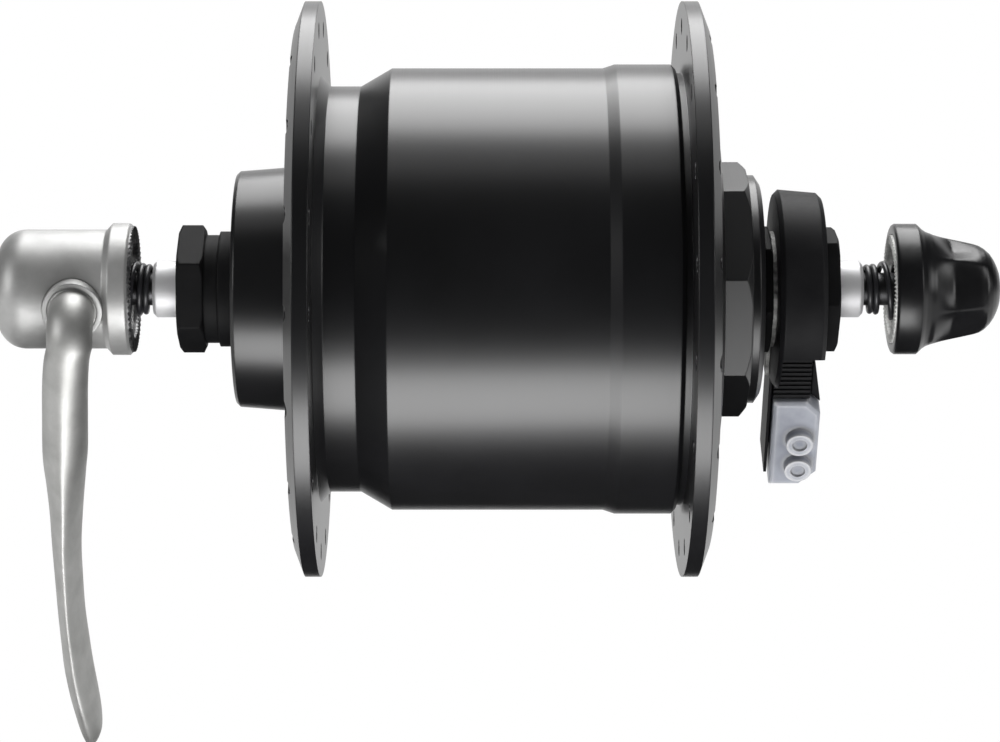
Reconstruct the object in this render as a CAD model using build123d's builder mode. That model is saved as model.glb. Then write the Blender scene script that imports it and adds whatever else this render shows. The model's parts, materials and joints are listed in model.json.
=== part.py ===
from build123d import *
import math
import os

# Front hub dynamo with a hollow axle and a quick-release skewer.
# X runs along the axle: the lever side is -X, the connector side +X.
# -Y is the front, +Z is up. The origin lies on the axle's centre line,
# midway between the two lock-nut faces that sit in the fork.

# Axle and fork, in millimetres
boss_gap = 2.6
cap_gap = 0.51
axle_stub_l = 4.0
axle_end_d = 8.66
axle_thread_d = 9.0
axle_body_d = 12.0
axle_bore_d = 5.6
axle_chamfer = 0.5

# Hub shell
flange_d = 87.64
flange_spacing = 57.0
flange_shift = -1.01
rim_w = 2.3
rim_bevel = 1.34
rim_bevel_reach = 3.52
spoke_inset = 3.82
spoke_count = 18
spoke_hole_d = 2.6
spoke_turn = 5.0
boss_l = 9.2
boss_d = 36.0
boss_root_d = 37.4
boss_chamfer = 0.5
neck_gap = 1.46
neck_step = 2.75
neck_l = 6.06
neck_wall = 2.9
shoulder_l = 4.7
barrel_d = 67.3
barrel_wall = 2.65
band_rise = 0.6
band_l = 10.84
band_ramp_l = 1.8
band_round = 0.6
groove_w = 1.1
groove_depth = 1.35
flange_root_step = 1.15
shell_floor_t = 3.5
floor_hole_d = 22.0
bore_step_gap = 5.6
right_face_gap = 1.6

# End cap of the shell, with its eight wrench flats
cap_t = 4.05
cap_dish_l = 1.25
cap_rim_w = 6.0
octagon_across = 36.0
octagon_l = 3.65
octagon_turn = 41.3
cap_chamfer_l = 0.95
cap_chamfer_d = 36.6
cap_ring_d = 34.8
cap_ring_l = 1.2
cap_nose_l = 0.8
cap_nose_d = 32.4

# Bearings, the same on both sides
ball_d = 4.76
ball_count = 9
ball_circle_d = 18.0
ball_inset = 4.6
cone_d = 17.6
cone_sleeve_d = 12.6
cone_sleeve_reach = 2.9
cone_slope_out = 1.9
cone_slope_in = 0.2
cup_d = 26.0
cup_mouth_d = 23.7
cup_lip_d = 15.2
cup_out = 2.3
cup_in = 4.0
cup_lip_t = 1.6
cage_d = 22.8
cage_w = 1.5
cage_t = 1.5
cage_out = 1.3
cage_play = 0.1
dust_cap_d = 28.0
dust_cap_hole_d = 19.8
dust_cap_t = 1.0
dust_cap_inset = 0.3
seal_tip_t = 0.25
seal_out = 0.7
seal_root_t = 0.5

# Nuts and washers on the axle
lock_nut_across = 17.0
left_nut_t = 4.0
left_nut_turn = 37.4
right_nut_t = 2.45
right_nut_turn = 15.3
nut_bevel = 0.9
washer_d = 16.5
washer_t = 2.2
clamp_nut_across = 16.8
clamp_nut_t = 1.25
clamp_nut_turn = 22.0
earth_plate_t = 0.6
earth_plate_d = 17.6
earth_tongue_w = 5.0
earth_tongue_l = 15.0

# Generator
magnet_room = 8.19
magnet_t = 2.9
magnet_segments = 4
magnet_gap = 0.4
back_iron_t = 1.45
air_gap = 0.35
claw_count = 14
claw_t = 1.6
claw_tip_gap = 1.2
claw_root_share = 0.42
claw_tip_share = 0.24
yoke_t = 2.0
yoke_rim = 0.4
stator_inset = 2.0
core_d = 24.0
bobbin_wall = 0.8
bobbin_play = 0.2
coil_depth_share = 0.8
stator_nut_across = 17.0
stator_nut_t = 4.0
stator_washer_d = 20.0
stator_washer_t = 1.2
lead_d = 0.9
lead_circle_d = 27.4
lead_bend = 1.6
lead_play = 0.25
lead_turn_gap = 1.8
slot_wall = 0.5

# Connector, in its own plane that leans back from the vertical
connector_turn = 38.0
connector_w = 7.1
connector_d = 30.4
connector_small_d = 29.4
connector_round = 0.7
connector_low_z = 10.7
cradle_inset = 0.2
cradle_wall = 0.45
cradle_l = 34.8
cradle_front = 2.5
cradle_back_t = 0.9
cradle_root = 10.0
ear_start = 13.2
ear_l = 7.8
ear_t = 0.3
ear_w = 1.45
ear_front = 1.5
plug_start = 11.3
plug_inset = 0.9
plug_w = 5.75
plug_t = 6.0
plug_grip_l = 7.9
plug_l = 22.5
plug_step = 0.7
rib_count = 8
rib_depth = 0.35
cover_start = 19.35
cover_l = 16.85
cover_w = 7.4
cover_t = 8.4
cover_inset = 0.95
cover_top_cut = 2.2
cover_low_cut = 2.6
cover_round = 0.5
cover_boss_d = 4.2
cover_boss_h = 1.7
cover_boss_hole_d = 2.3
cover_boss_hole_l = 0.4
cover_boss_first = 7.15
cover_boss_pitch = 5.3
cover_boss_inset = 4.3
contact_w = 2.2
contact_t = 0.6
contact_start = 8.6
contact_l = 17.0
contact_spread = 1.2
contact_play = 0.1

# Quick release: rod, housing and lever
lever_turn = 20.5
skewer_d = 5.0
rod_reach = 21.5
pivot_gap = 15.5
cam_throw = 1.5
cam_d = 5.2
journal_d = 7.4
tail_d = 4.4
tail_l = 4.1
eye_t = 5.2
eye_wall = 1.6
eye_play = 0.4
housing_reach = 27.7
housing_d = 18.2
housing_round = 4.3
collar_d = 20.16
collar_l = 3.0
collar_gap = 7.2
collar_ramp = 0.9
collar_bevel = 0.45
pocket_d = 14.8
pocket_l = 3.6
tooth_ring_d = 18.4
tooth_ring_t = 1.4
tooth_ring_out = 0.8
tooth_count = 24
tooth_depth = 0.45
bush_d = 9.1
bush_out = 9.9
bush_l = 6.4
elbow_out = 10.4
elbow_r = 3.9
handle_l = 66.7
handle_w = 6.9
handle_d = 13.0
handle_sweep = 2.1
handle_drop = 5.0

# Springs of the quick release
wire_d = 0.9
spring_small_d = 7.2
spring_large_d = 11.4
spring_turns = 3
spring_rest = 0.08

# Nut of the quick release
nut_gap = 8.5
nut_collar_d = 19.94
nut_collar_l = 3.7
nut_waist_d = 17.2
nut_waist_l = 2.0
nut_tail_d = 14.4
nut_tail_l = 7.3
nut_dome_l = 3.5
nut_end_d = 7.2
flute_count = 6
flute_turn = 14.0
flute_d = 12.4
flute_depth = 2.0
flute_end_depth = 1.0
flute_entry_l = 5.2
insert_d = 16.6
insert_t = 3.2
insert_out = 0.3
nut_pocket_d = 13.6
nut_pocket_l = 4.2
nut_thread_reach = 23.6
nut_ring_d = 9.0
nut_ring_t = 2.4

# A press seat, a running fit, a free gap and one overrun for all cuts
seat = 0.05
running = 0.05
free = 0.35
overrun = 1.0

# Places along the axle that follow from the sizes above
left_rim_x = flange_shift - flange_spacing / 2
right_rim_x = flange_shift + flange_spacing / 2
left_rim_out_x = left_rim_x - rim_w / 2
left_rim_in_x = left_rim_x + rim_w / 2
right_rim_in_x = right_rim_x - rim_w / 2
right_rim_out_x = right_rim_x + rim_w / 2
left_web_x = left_rim_out_x - rim_bevel
boss_face_x = left_web_x - boss_l
shell_open_x = right_rim_out_x + right_face_gap
neck_start_x = left_rim_in_x + neck_gap
neck_end_x = left_rim_in_x + neck_l
shoulder_end_x = neck_end_x + shoulder_l
band_end_x = right_rim_in_x - groove_w
band_start_x = band_end_x - band_l
bore_step_x = shoulder_end_x + bore_step_gap
floor_x = left_web_x + shell_floor_t
cap_in_x = shell_open_x - cap_t
octagon_x = shell_open_x + cap_dish_l
octagon_end_x = octagon_x + octagon_l
cap_ring_x = octagon_end_x + cap_chamfer_l
cap_nose_x = cap_ring_x + cap_ring_l
cap_face_x = cap_nose_x + cap_nose_l
washer_in_x = boss_face_x - boss_gap
left_nut_in_x = washer_in_x - washer_t
left_face_x = left_nut_in_x - left_nut_t
left_end_x = left_face_x - axle_stub_l
clamp_nut_x = cap_face_x + cap_gap
earth_plate_x = clamp_nut_x + clamp_nut_t
connector_x = earth_plate_x + earth_plate_t
right_nut_in_x = connector_x + connector_w
right_face_x = right_nut_in_x + right_nut_t
right_end_x = right_face_x + axle_stub_l
left_ball_x = boss_face_x + ball_inset
right_ball_x = cap_face_x - ball_inset
magnet_l = cap_in_x - bore_step_x - magnet_room
stator_l = magnet_l - 2 * stator_inset
magnet_mid_x = bore_step_x + magnet_l / 2
stator_start_x = magnet_mid_x - stator_l / 2
stator_end_x = magnet_mid_x + stator_l / 2
pivot_out = pivot_gap - left_face_x
housing_end = housing_reach - left_face_x
collar_face = collar_gap - left_face_x
rod_end = right_face_x + rod_reach
nut_face = right_face_x + nut_gap
nut_thread_end = right_face_x + nut_thread_reach

# Diameters of the shell and radii that several pieces share
rim_bevel_d = flange_d - 2 * rim_bevel_reach
spoke_circle_d = flange_d - 2 * spoke_inset
neck_d = barrel_d - 2 * neck_step
neck_bore_d = neck_d - 2 * neck_wall
band_d = barrel_d + 2 * band_rise
groove_d = band_d - 2 * groove_depth
flange_root_d = barrel_d - 2 * flange_root_step
shell_bore_d = barrel_d - 2 * barrel_wall
cap_dish_d = shell_bore_d - 2 * cap_rim_w
thread_r = axle_thread_d / 2
nut_bore_r = thread_r + running
body_bore_r = axle_body_d / 2 + running
ball_r = ball_d / 2
race_r = ball_r + running
back_iron_r = shell_bore_d / 2 - seat
magnet_r = back_iron_r - back_iron_t - seat
magnet_bore_r = magnet_r - magnet_t
claw_r = magnet_bore_r - air_gap
claw_bore_r = claw_r - claw_t
slot_floor_r = axle_bore_d / 2 + slot_wall
lead_r = lead_d / 2
lead_slot_r = slot_floor_r + lead_play + lead_r
slot_half_w = lead_r + lead_play

# The lever's pivot and the connector's face both lean down from the front
lever_lean = math.radians(lever_turn)
connector_lean = math.radians(connector_turn)
along = Vector(1, 0, 0)
pivot_dir = Vector(0, -math.cos(lever_lean), -math.sin(lever_lean))
handle_dir = Vector(0, math.sin(lever_lean), -math.cos(lever_lean))
connector_out = Vector(0, -math.cos(connector_lean), -math.sin(connector_lean))
pivot_point = along * -pivot_out
lever_plane = Plane(origin=pivot_point, x_dir=along, z_dir=pivot_dir)
lever_side_plane = Plane(origin=pivot_point, x_dir=pivot_dir, z_dir=along)
connector_down = Vector(0, math.sin(connector_lean), -math.cos(connector_lean))
connector_plane = Plane(origin=(0, 0, 0), x_dir=along, z_dir=connector_out)
lead_plane = Plane(origin=(0, 0, 0), x_dir=along, z_dir=connector_out * -1)

os.makedirs("parts", exist_ok=True)


def turned(points, mode=Mode.ADD):
    """Revolve a half section of (x, r) points about the axle's centre line."""
    with BuildSketch(Plane.XY) as section:
        with BuildLine():
            Polyline(*points, close=True)
        make_face()
    revolve(section.sketch, axis=Axis.X, mode=mode)


def ring(x_low, x_high, bore_r, outer_r, mode=Mode.ADD):
    """A plain ring or washer about the axle's centre line."""
    turned([(x_low, bore_r), (x_high, bore_r), (x_high, outer_r), (x_low, outer_r)], mode)


def hexagon_nut(x_low, x_high, across, turn, bore_r):
    """A hexagon nut whose corners are turned off at both ends."""
    with BuildSketch(Plane.YZ.offset(x_low)) as outline:
        RegularPolygon(across / 2, 6, major_radius=False, rotation=turn)
        Circle(bore_r, mode=Mode.SUBTRACT)
    extrude(outline.sketch, amount=x_high - x_low)
    corner_r = across / 2 / math.cos(math.pi / 6)
    bevel = min(nut_bevel, (x_high - x_low) / 3)
    half_bevel = bevel / 2
    turned(
        [
            (x_low, 0),
            (x_low, corner_r - bevel),
            (x_low + half_bevel, corner_r),
            (x_high - half_bevel, corner_r),
            (x_high, corner_r - bevel),
            (x_high, 0),
        ],
        Mode.INTERSECT,
    )


def outline_face(plane, points):
    """A closed face through points given in the plane's own two directions."""
    with BuildSketch(plane) as outline:
        with BuildLine():
            Polyline(*points, close=True)
        make_face()
    return outline.sketch


def connector_box(x_low, x_high, u_low, u_high, v_low, v_high, mode=Mode.ADD):
    """A block beside the connector: u runs down its arm, v out of its face."""
    corners = [(x_low, -u_low), (x_high, -u_low), (x_high, -u_high), (x_low, -u_high)]
    extrude(outline_face(connector_plane.offset(v_low), corners), amount=v_high - v_low, mode=mode)


def tooth_cuts(face_x, into, inner_r, outer_r):
    """Radial grooves that leave a ring of teeth on an end face."""
    middle_r = (inner_r + outer_r) / 2
    groove = math.pi * middle_r / tooth_count
    with BuildSketch(Plane.YZ.offset(face_x)) as grooves:
        with PolarLocations(middle_r, tooth_count):
            Rectangle(outer_r - inner_r + 2 * overrun, groove)
    extrude(grooves.sketch, amount=into * tooth_depth, mode=Mode.SUBTRACT)


def coil_wire(x_start, r_start, x_end, r_end, turns):
    """Sweep one conical coil on two arcs for each quarter turn and print its least gap."""
    steps = round(4 * turns)
    sweep_angle = 2 * math.pi * turns

    def place(share):
        angle = sweep_angle * share
        radius = r_start + (r_end - r_start) * share
        return Vector(
            x_start + (x_end - x_start) * share,
            radius * math.cos(angle),
            radius * math.sin(angle),
        )

    def heading(share):
        angle = sweep_angle * share
        radius = r_start + (r_end - r_start) * share
        growth = r_end - r_start
        return Vector(
            x_end - x_start,
            growth * math.cos(angle) - radius * sweep_angle * math.sin(angle),
            growth * math.sin(angle) + radius * sweep_angle * math.cos(angle),
        ).normalized()

    with BuildLine() as path:
        for step in range(steps):
            first, last = place(step / steps), place((step + 1) / steps)
            leave, arrive = heading(step / steps), heading((step + 1) / steps)
            chord = last - first
            square = 2 * (leave.dot(arrive) - 1)
            linear = -2 * chord.dot(leave + arrive)
            root = math.sqrt(linear * linear - 4 * square * chord.dot(chord))
            reach = (-linear - root) / (2 * square)
            before, after = first + leave * reach, last - arrive * reach
            middle = (before + after) / 2
            TangentArc(first, middle, tangent=leave)
            TangentArc(middle, last, tangent=(after - before).normalized())
    with BuildSketch(Plane(origin=place(0), z_dir=heading(0))) as wire:
        Circle(wire_d / 2)
    sweep(sections=wire.sketch, path=path.line)

    samples = 36 * steps
    points = [place(k / samples) for k in range(samples + 1)]
    half_turn = samples // (2 * turns)
    gap = min(
        (points[b] - points[a]).length - wire_d
        for a in range(0, samples, 4)
        for b in range(a + half_turn, samples + 1, 4)
    )
    print("least gap of the coil to itself", round(gap, 3), "over", turns, "turns")


# Hub shell: left boss, two flanges and the stepped barrel in one piece
with BuildPart() as hub_shell:
    turned(
        [
            (boss_face_x, dust_cap_d / 2 + seat),
            (boss_face_x, boss_d / 2 - boss_chamfer),
            (boss_face_x + boss_chamfer, boss_d / 2),
            (left_web_x, boss_root_d / 2),
            (left_web_x, rim_bevel_d / 2),
            (left_rim_out_x, flange_d / 2),
            (left_rim_in_x, flange_d / 2),
            (left_rim_in_x, flange_root_d / 2),
            (neck_start_x, neck_d / 2),
            (neck_end_x, neck_d / 2),
            (shoulder_end_x, barrel_d / 2),
            (band_start_x, barrel_d / 2),
            (band_start_x + band_ramp_l, band_d / 2),
            (band_end_x - band_round, band_d / 2),
            (band_end_x, band_d / 2 - band_round),
            (band_end_x, groove_d / 2),
            (right_rim_in_x, groove_d / 2),
            (right_rim_in_x, flange_d / 2),
            (right_rim_out_x, flange_d / 2),
            (right_rim_out_x + rim_bevel, rim_bevel_d / 2),
            (shell_open_x, shell_bore_d / 2 + right_face_gap),
            (shell_open_x, shell_bore_d / 2),
            (bore_step_x, shell_bore_d / 2),
            (bore_step_x, neck_bore_d / 2),
            (floor_x, neck_bore_d / 2),
            (floor_x, floor_hole_d / 2),
            (left_ball_x + cup_in, floor_hole_d / 2),
            (left_ball_x + cup_in, cup_d / 2 + seat),
            (boss_face_x + dust_cap_inset + dust_cap_t, cup_d / 2 + seat),
            (boss_face_x + dust_cap_inset + dust_cap_t, dust_cap_d / 2 + seat),
        ]
    )
    with BuildSketch(Plane.YZ.offset(left_web_x - overrun)):
        with PolarLocations(spoke_circle_d / 2, spoke_count, start_angle=spoke_turn):
            Circle(spoke_hole_d / 2)
    extrude(amount=rim_bevel + rim_w + 2 * overrun, mode=Mode.SUBTRACT)
    with BuildSketch(Plane.YZ.offset(right_rim_in_x - overrun)):
        with PolarLocations(spoke_circle_d / 2, spoke_count, start_angle=spoke_turn + 180 / spoke_count):
            Circle(spoke_hole_d / 2)
    extrude(amount=rim_bevel + rim_w + 2 * overrun, mode=Mode.SUBTRACT)
hub_shell.part.label = "hub_shell"
export_step(hub_shell.part, "parts/hub_shell.step")

# End cap: a dished plate in the shell's mouth and an octagonal boss for the wrench
cap_r = shell_bore_d / 2 - seat
with BuildPart() as end_cap:
    with BuildSketch(Plane.YZ.offset(octagon_x - overrun)):
        RegularPolygon(octagon_across / 2, 8, major_radius=False, rotation=octagon_turn)
    extrude(amount=octagon_l + cap_chamfer_l + overrun)
    octagon_r = octagon_across / 2 / math.cos(math.pi / 8)
    turned(
        [
            (octagon_x - overrun, 0),
            (octagon_x - overrun, octagon_r),
            (octagon_end_x, octagon_r),
            (cap_ring_x, cap_chamfer_d / 2),
            (cap_ring_x, 0),
        ],
        Mode.INTERSECT,
    )
    turned(
        [
            (cap_in_x, 0),
            (cap_in_x, cap_r),
            (shell_open_x, cap_r),
            (octagon_x, cap_dish_d / 2),
            (octagon_x, cap_ring_d / 2),
            (cap_nose_x, cap_ring_d / 2),
            (cap_face_x, cap_nose_d / 2),
            (cap_face_x, 0),
        ]
    )
    turned(
        [
            (cap_in_x - overrun, 0),
            (cap_in_x - overrun, floor_hole_d / 2),
            (right_ball_x - cup_in, floor_hole_d / 2),
            (right_ball_x - cup_in, cup_d / 2 + seat),
            (cap_face_x - dust_cap_inset - dust_cap_t, cup_d / 2 + seat),
            (cap_face_x - dust_cap_inset - dust_cap_t, dust_cap_d / 2 + seat),
            (cap_face_x + overrun, dust_cap_d / 2 + seat),
            (cap_face_x + overrun, 0),
        ],
        Mode.SUBTRACT,
    )
end_cap.part.label = "end_cap"
export_step(end_cap.part, "parts/end_cap.step")

# Bearings: a cone on the axle, a cup in the shell, balls in a cage, dust cap and seal
cone_r = cone_d / 2
ball_circle_r = ball_circle_d / 2
bearing_sides = (
    ("left", -1, left_ball_x, washer_in_x, boss_face_x),
    ("right", 1, right_ball_x, clamp_nut_x, cap_face_x),
)
for side, out, ball_x, cone_end_x, face_x in bearing_sides:
    with BuildPart() as cone:
        turned(
            [
                (cone_end_x, nut_bore_r),
                (cone_end_x, cone_r),
                (ball_x + out * cone_slope_out, cone_r),
                (ball_x + out * cone_slope_in, cone_sleeve_d / 2),
                (ball_x - out * cone_sleeve_reach, cone_sleeve_d / 2),
                (ball_x - out * cone_sleeve_reach, nut_bore_r),
            ]
        )
        with BuildSketch(Plane.XY) as race:
            with Locations((ball_x, ball_circle_r)):
                Circle(race_r)
        revolve(race.sketch, axis=Axis.X, mode=Mode.SUBTRACT)
    cone.part.label = side + "_cone"
    export_step(cone.part, "parts/" + side + "_cone.step")

    with BuildPart() as cup:
        turned(
            [
                (ball_x + out * cup_out, cup_mouth_d / 2),
                (ball_x + out * cup_out, cup_d / 2),
                (ball_x - out * cup_in, cup_d / 2),
                (ball_x - out * cup_in, cup_lip_d / 2),
                (ball_x - out * (cup_in - cup_lip_t), cup_lip_d / 2),
                (ball_x + out * cone_slope_in, cup_mouth_d / 2),
            ]
        )
        with BuildSketch(Plane.XY) as race:
            with Locations((ball_x, ball_circle_r)):
                Circle(race_r)
        revolve(race.sketch, axis=Axis.X, mode=Mode.SUBTRACT)
    cup.part.label = side + "_cup"
    export_step(cup.part, "parts/" + side + "_cup.step")

    with BuildPart() as balls:
        with Locations(Plane.YZ.offset(ball_x)):
            with PolarLocations(ball_circle_r, ball_count):
                Sphere(ball_r)
    balls.part.label = side + "_balls"
    export_step(balls.part, "parts/" + side + "_balls.step")

    with BuildPart() as cage:
        cage_x = ball_x + out * cage_out
        ring(cage_x, cage_x + out * cage_w, cage_d / 2 - cage_t, cage_d / 2)
        with Locations(Plane.YZ.offset(ball_x)):
            with PolarLocations(ball_circle_r, ball_count):
                Sphere(ball_r + cage_play, mode=Mode.SUBTRACT)
    cage.part.label = side + "_cage"
    export_step(cage.part, "parts/" + side + "_cage.step")

    dust_face_x = face_x - out * dust_cap_inset
    dust_back_x = dust_face_x - out * dust_cap_t
    with BuildPart() as dust_cap:
        ring(dust_back_x, dust_face_x, dust_cap_hole_d / 2, dust_cap_d / 2)
    dust_cap.part.label = side + "_dust_cap"
    export_step(dust_cap.part, "parts/" + side + "_dust_cap.step")

    with BuildPart() as seal:
        seal_r = cone_r + running
        seal_root_r = dust_cap_hole_d / 2 - seat
        turned(
            [
                (dust_back_x, seal_root_r),
                (dust_face_x, seal_root_r),
                (dust_face_x + out * seal_out, seal_r + seal_tip_t),
                (dust_face_x + out * seal_out, seal_r),
                (dust_face_x, seal_r),
                (dust_back_x, seal_root_r - seal_root_t),
            ]
        )
    seal.part.label = side + "_seal"
    export_step(seal.part, "parts/" + side + "_seal.step")

# Axle: a hollow steel bar with a thick middle, threads, turned ends and a lead slot
left_shoulder_x = left_ball_x + cone_sleeve_reach
right_shoulder_x = right_ball_x - cone_sleeve_reach
lead_turn_x = stator_end_x + stator_washer_t + stator_nut_t + lead_turn_gap
contact_mid_x = connector_x + plug_inset + plug_w / 2
live_x = contact_mid_x + contact_spread
slot_start_x = lead_turn_x - slot_half_w - lead_bend
slot_end_x = live_x + slot_half_w
with BuildPart() as axle:
    turned(
        [
            (left_end_x, axle_bore_d / 2),
            (left_end_x, axle_end_d / 2 - axle_chamfer),
            (left_end_x + axle_chamfer, axle_end_d / 2),
            (left_face_x, axle_end_d / 2),
            (left_face_x, thread_r),
            (left_shoulder_x, thread_r),
            (left_shoulder_x, axle_body_d / 2),
            (right_shoulder_x, axle_body_d / 2),
            (right_shoulder_x, thread_r),
            (right_face_x, thread_r),
            (right_face_x, axle_end_d / 2),
            (right_end_x - axle_chamfer, axle_end_d / 2),
            (right_end_x, axle_end_d / 2 - axle_chamfer),
            (right_end_x, axle_bore_d / 2),
        ]
    )
    slot_top = axle_body_d / 2 + overrun
    slot_corners = [
        (slot_start_x, slot_floor_r),
        (slot_end_x, slot_floor_r),
        (slot_end_x, slot_top),
        (slot_start_x, slot_top),
    ]
    extrude(outline_face(lead_plane, slot_corners), amount=slot_half_w, both=True, mode=Mode.SUBTRACT)
axle.part.label = "axle"
export_step(axle.part, "parts/axle.step")

# Lock nuts, spacer and the nut that clamps the right cone
with BuildPart() as left_lock_nut:
    hexagon_nut(left_face_x, left_nut_in_x, lock_nut_across, left_nut_turn, nut_bore_r)
left_lock_nut.part.label = "left_lock_nut"
export_step(left_lock_nut.part, "parts/left_lock_nut.step")

with BuildPart() as left_spacer:
    ring(left_nut_in_x, washer_in_x, nut_bore_r, washer_d / 2)
left_spacer.part.label = "left_spacer"
export_step(left_spacer.part, "parts/left_spacer.step")

with BuildPart() as right_lock_nut:
    hexagon_nut(right_nut_in_x, right_face_x, lock_nut_across, right_nut_turn, nut_bore_r)
right_lock_nut.part.label = "right_lock_nut"
export_step(right_lock_nut.part, "parts/right_lock_nut.step")

with BuildPart() as clamp_nut:
    hexagon_nut(clamp_nut_x, earth_plate_x, clamp_nut_across, clamp_nut_turn, nut_bore_r)
clamp_nut.part.label = "clamp_nut"
export_step(clamp_nut.part, "parts/clamp_nut.step")

# Earth plate: a thin washer whose tongue runs down the connector's side
with BuildPart() as earth_plate:
    ring(earth_plate_x, connector_x, nut_bore_r, earth_plate_d / 2)
    half_tongue = earth_tongue_w / 2
    tongue_root = earth_plate_d / 4 + nut_bore_r / 2
    connector_box(earth_plate_x, connector_x, tongue_root, earth_tongue_l, -half_tongue, half_tongue)
earth_plate.part.label = "earth_plate"
export_step(earth_plate.part, "parts/earth_plate.step")

# Stator: core, two claw-pole yokes, bobbin, coil, washers and nuts
left_yoke_in_x = stator_start_x + yoke_t
right_yoke_in_x = stator_end_x - yoke_t
with BuildPart() as stator_core:
    ring(left_yoke_in_x, right_yoke_in_x, body_bore_r, core_d / 2)
stator_core.part.label = "stator_core"
export_step(stator_core.part, "parts/stator_core.step")

# Each claw is a trapezoid on its own tangent plane, rounded to the air gap at the end
claw_pitch = 2 * math.pi * claw_r / claw_count
claw_root_w = claw_pitch * claw_root_share
claw_tip_w = claw_pitch * claw_tip_share
yoke_sides = (
    ("left", stator_start_x, left_yoke_in_x, right_yoke_in_x - claw_tip_gap, 0),
    ("right", stator_end_x, right_yoke_in_x, left_yoke_in_x + claw_tip_gap, math.pi / claw_count),
)
for side, plate_out_x, plate_in_x, claw_tip_x, first_angle in yoke_sides:
    with BuildPart() as yoke:
        ring(plate_out_x, plate_in_x, body_bore_r, claw_bore_r + yoke_rim)
        claw_planes = []
        for number in range(claw_count):
            angle = first_angle + 2 * math.pi * number / claw_count
            outward = Vector(0, math.cos(angle), math.sin(angle))
            claw_planes.append(Plane(origin=outward * claw_bore_r, x_dir=along, z_dir=outward))
        with BuildSketch(*claw_planes):
            with BuildLine():
                Polyline(
                    (plate_out_x, -claw_root_w / 2),
                    (plate_in_x, -claw_root_w / 2),
                    (claw_tip_x, -claw_tip_w / 2),
                    (claw_tip_x, claw_tip_w / 2),
                    (plate_in_x, claw_root_w / 2),
                    (plate_out_x, claw_root_w / 2),
                    close=True,
                )
            make_face()
        extrude(amount=claw_t + yoke_rim)
        ring(stator_start_x - overrun, stator_end_x + overrun, 0, claw_r, Mode.INTERSECT)
        if side == "right":
            connector_box(
                plate_in_x - overrun,
                plate_out_x + overrun,
                lead_circle_d / 2 - slot_half_w,
                lead_circle_d / 2 + slot_half_w,
                -slot_half_w,
                slot_half_w,
                Mode.SUBTRACT,
            )
    yoke.part.label = side + "_yoke"
    export_step(yoke.part, "parts/" + side + "_yoke.step")

bobbin_low_x = left_yoke_in_x + bobbin_play
bobbin_high_x = right_yoke_in_x - bobbin_play
bobbin_tube_r = core_d / 2 + seat + bobbin_wall
bobbin_r = claw_bore_r - free
coil_bore_r = bobbin_tube_r + seat
coil_r = coil_bore_r + coil_depth_share * (bobbin_r - coil_bore_r)
with BuildPart() as bobbin:
    turned(
        [
            (bobbin_low_x, core_d / 2 + seat),
            (bobbin_low_x, bobbin_r),
            (bobbin_low_x + bobbin_wall, bobbin_r),
            (bobbin_low_x + bobbin_wall, bobbin_tube_r),
            (bobbin_high_x - bobbin_wall, bobbin_tube_r),
            (bobbin_high_x - bobbin_wall, bobbin_r),
            (bobbin_high_x, bobbin_r),
            (bobbin_high_x, core_d / 2 + seat),
        ]
    )
    connector_box(
        bobbin_high_x - bobbin_wall,
        bobbin_high_x + overrun,
        lead_circle_d / 2 - slot_half_w,
        lead_circle_d / 2 + slot_half_w,
        -slot_half_w,
        slot_half_w,
        Mode.SUBTRACT,
    )
bobbin.part.label = "bobbin"
export_step(bobbin.part, "parts/bobbin.step")

with BuildPart() as coil:
    ring(bobbin_low_x + bobbin_wall, bobbin_high_x - bobbin_wall, coil_bore_r, coil_r)
coil.part.label = "coil"
export_step(coil.part, "parts/coil.step")

stator_ends = (("left", stator_start_x, -1), ("right", stator_end_x, 1))
with BuildPart() as stator_washers:
    for name, end_x, out in stator_ends:
        ring(end_x, end_x + out * stator_washer_t, body_bore_r, stator_washer_d / 2)
stator_washers.part.label = "stator_washers"
export_step(stator_washers.part, "parts/stator_washers.step")

for name, end_x, out in stator_ends:
    inner_x = end_x + out * stator_washer_t
    outer_x = inner_x + out * stator_nut_t
    with BuildPart() as stator_nut:
        hexagon_nut(min(inner_x, outer_x), max(inner_x, outer_x), stator_nut_across, 0, body_bore_r)
    stator_nut.part.label = name + "_stator_nut"
    export_step(stator_nut.part, "parts/" + name + "_stator_nut.step")

# Coil lead: out through the right yoke, down into the axle's slot, out to the live contact
with BuildPart() as coil_lead:
    lead_start_x = bobbin_high_x - bobbin_wall
    with BuildLine(lead_plane) as lead_path:
        FilletPolyline(
            (lead_start_x, lead_circle_d / 2),
            (lead_turn_x, lead_circle_d / 2),
            (lead_turn_x, lead_slot_r),
            (live_x, lead_slot_r),
            (live_x, contact_start),
            radius=lead_bend,
        )
    with BuildSketch(Plane(origin=lead_path.line @ 0, z_dir=along)):
        Circle(lead_r)
    sweep()
coil_lead.part.label = "coil_lead"
export_step(coil_lead.part, "parts/coil_lead.step")

# Magnet ring and the soft-iron ring behind it, pressed into the shell
with BuildPart() as back_iron:
    ring(bore_step_x, bore_step_x + magnet_l, magnet_r + seat, back_iron_r)
back_iron.part.label = "back_iron"
export_step(back_iron.part, "parts/back_iron.step")

with BuildPart() as magnets:
    ring(bore_step_x, bore_step_x + magnet_l, magnet_bore_r, magnet_r)
    with BuildSketch(Plane.YZ.offset(bore_step_x - overrun)):
        with PolarLocations((magnet_bore_r + magnet_r) / 2, magnet_segments):
            Rectangle(magnet_t + 2 * overrun, magnet_gap)
    extrude(amount=magnet_l + 2 * overrun, mode=Mode.SUBTRACT)
magnets.part.label = "magnets"
export_step(magnets.part, "parts/magnets.step")

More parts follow.
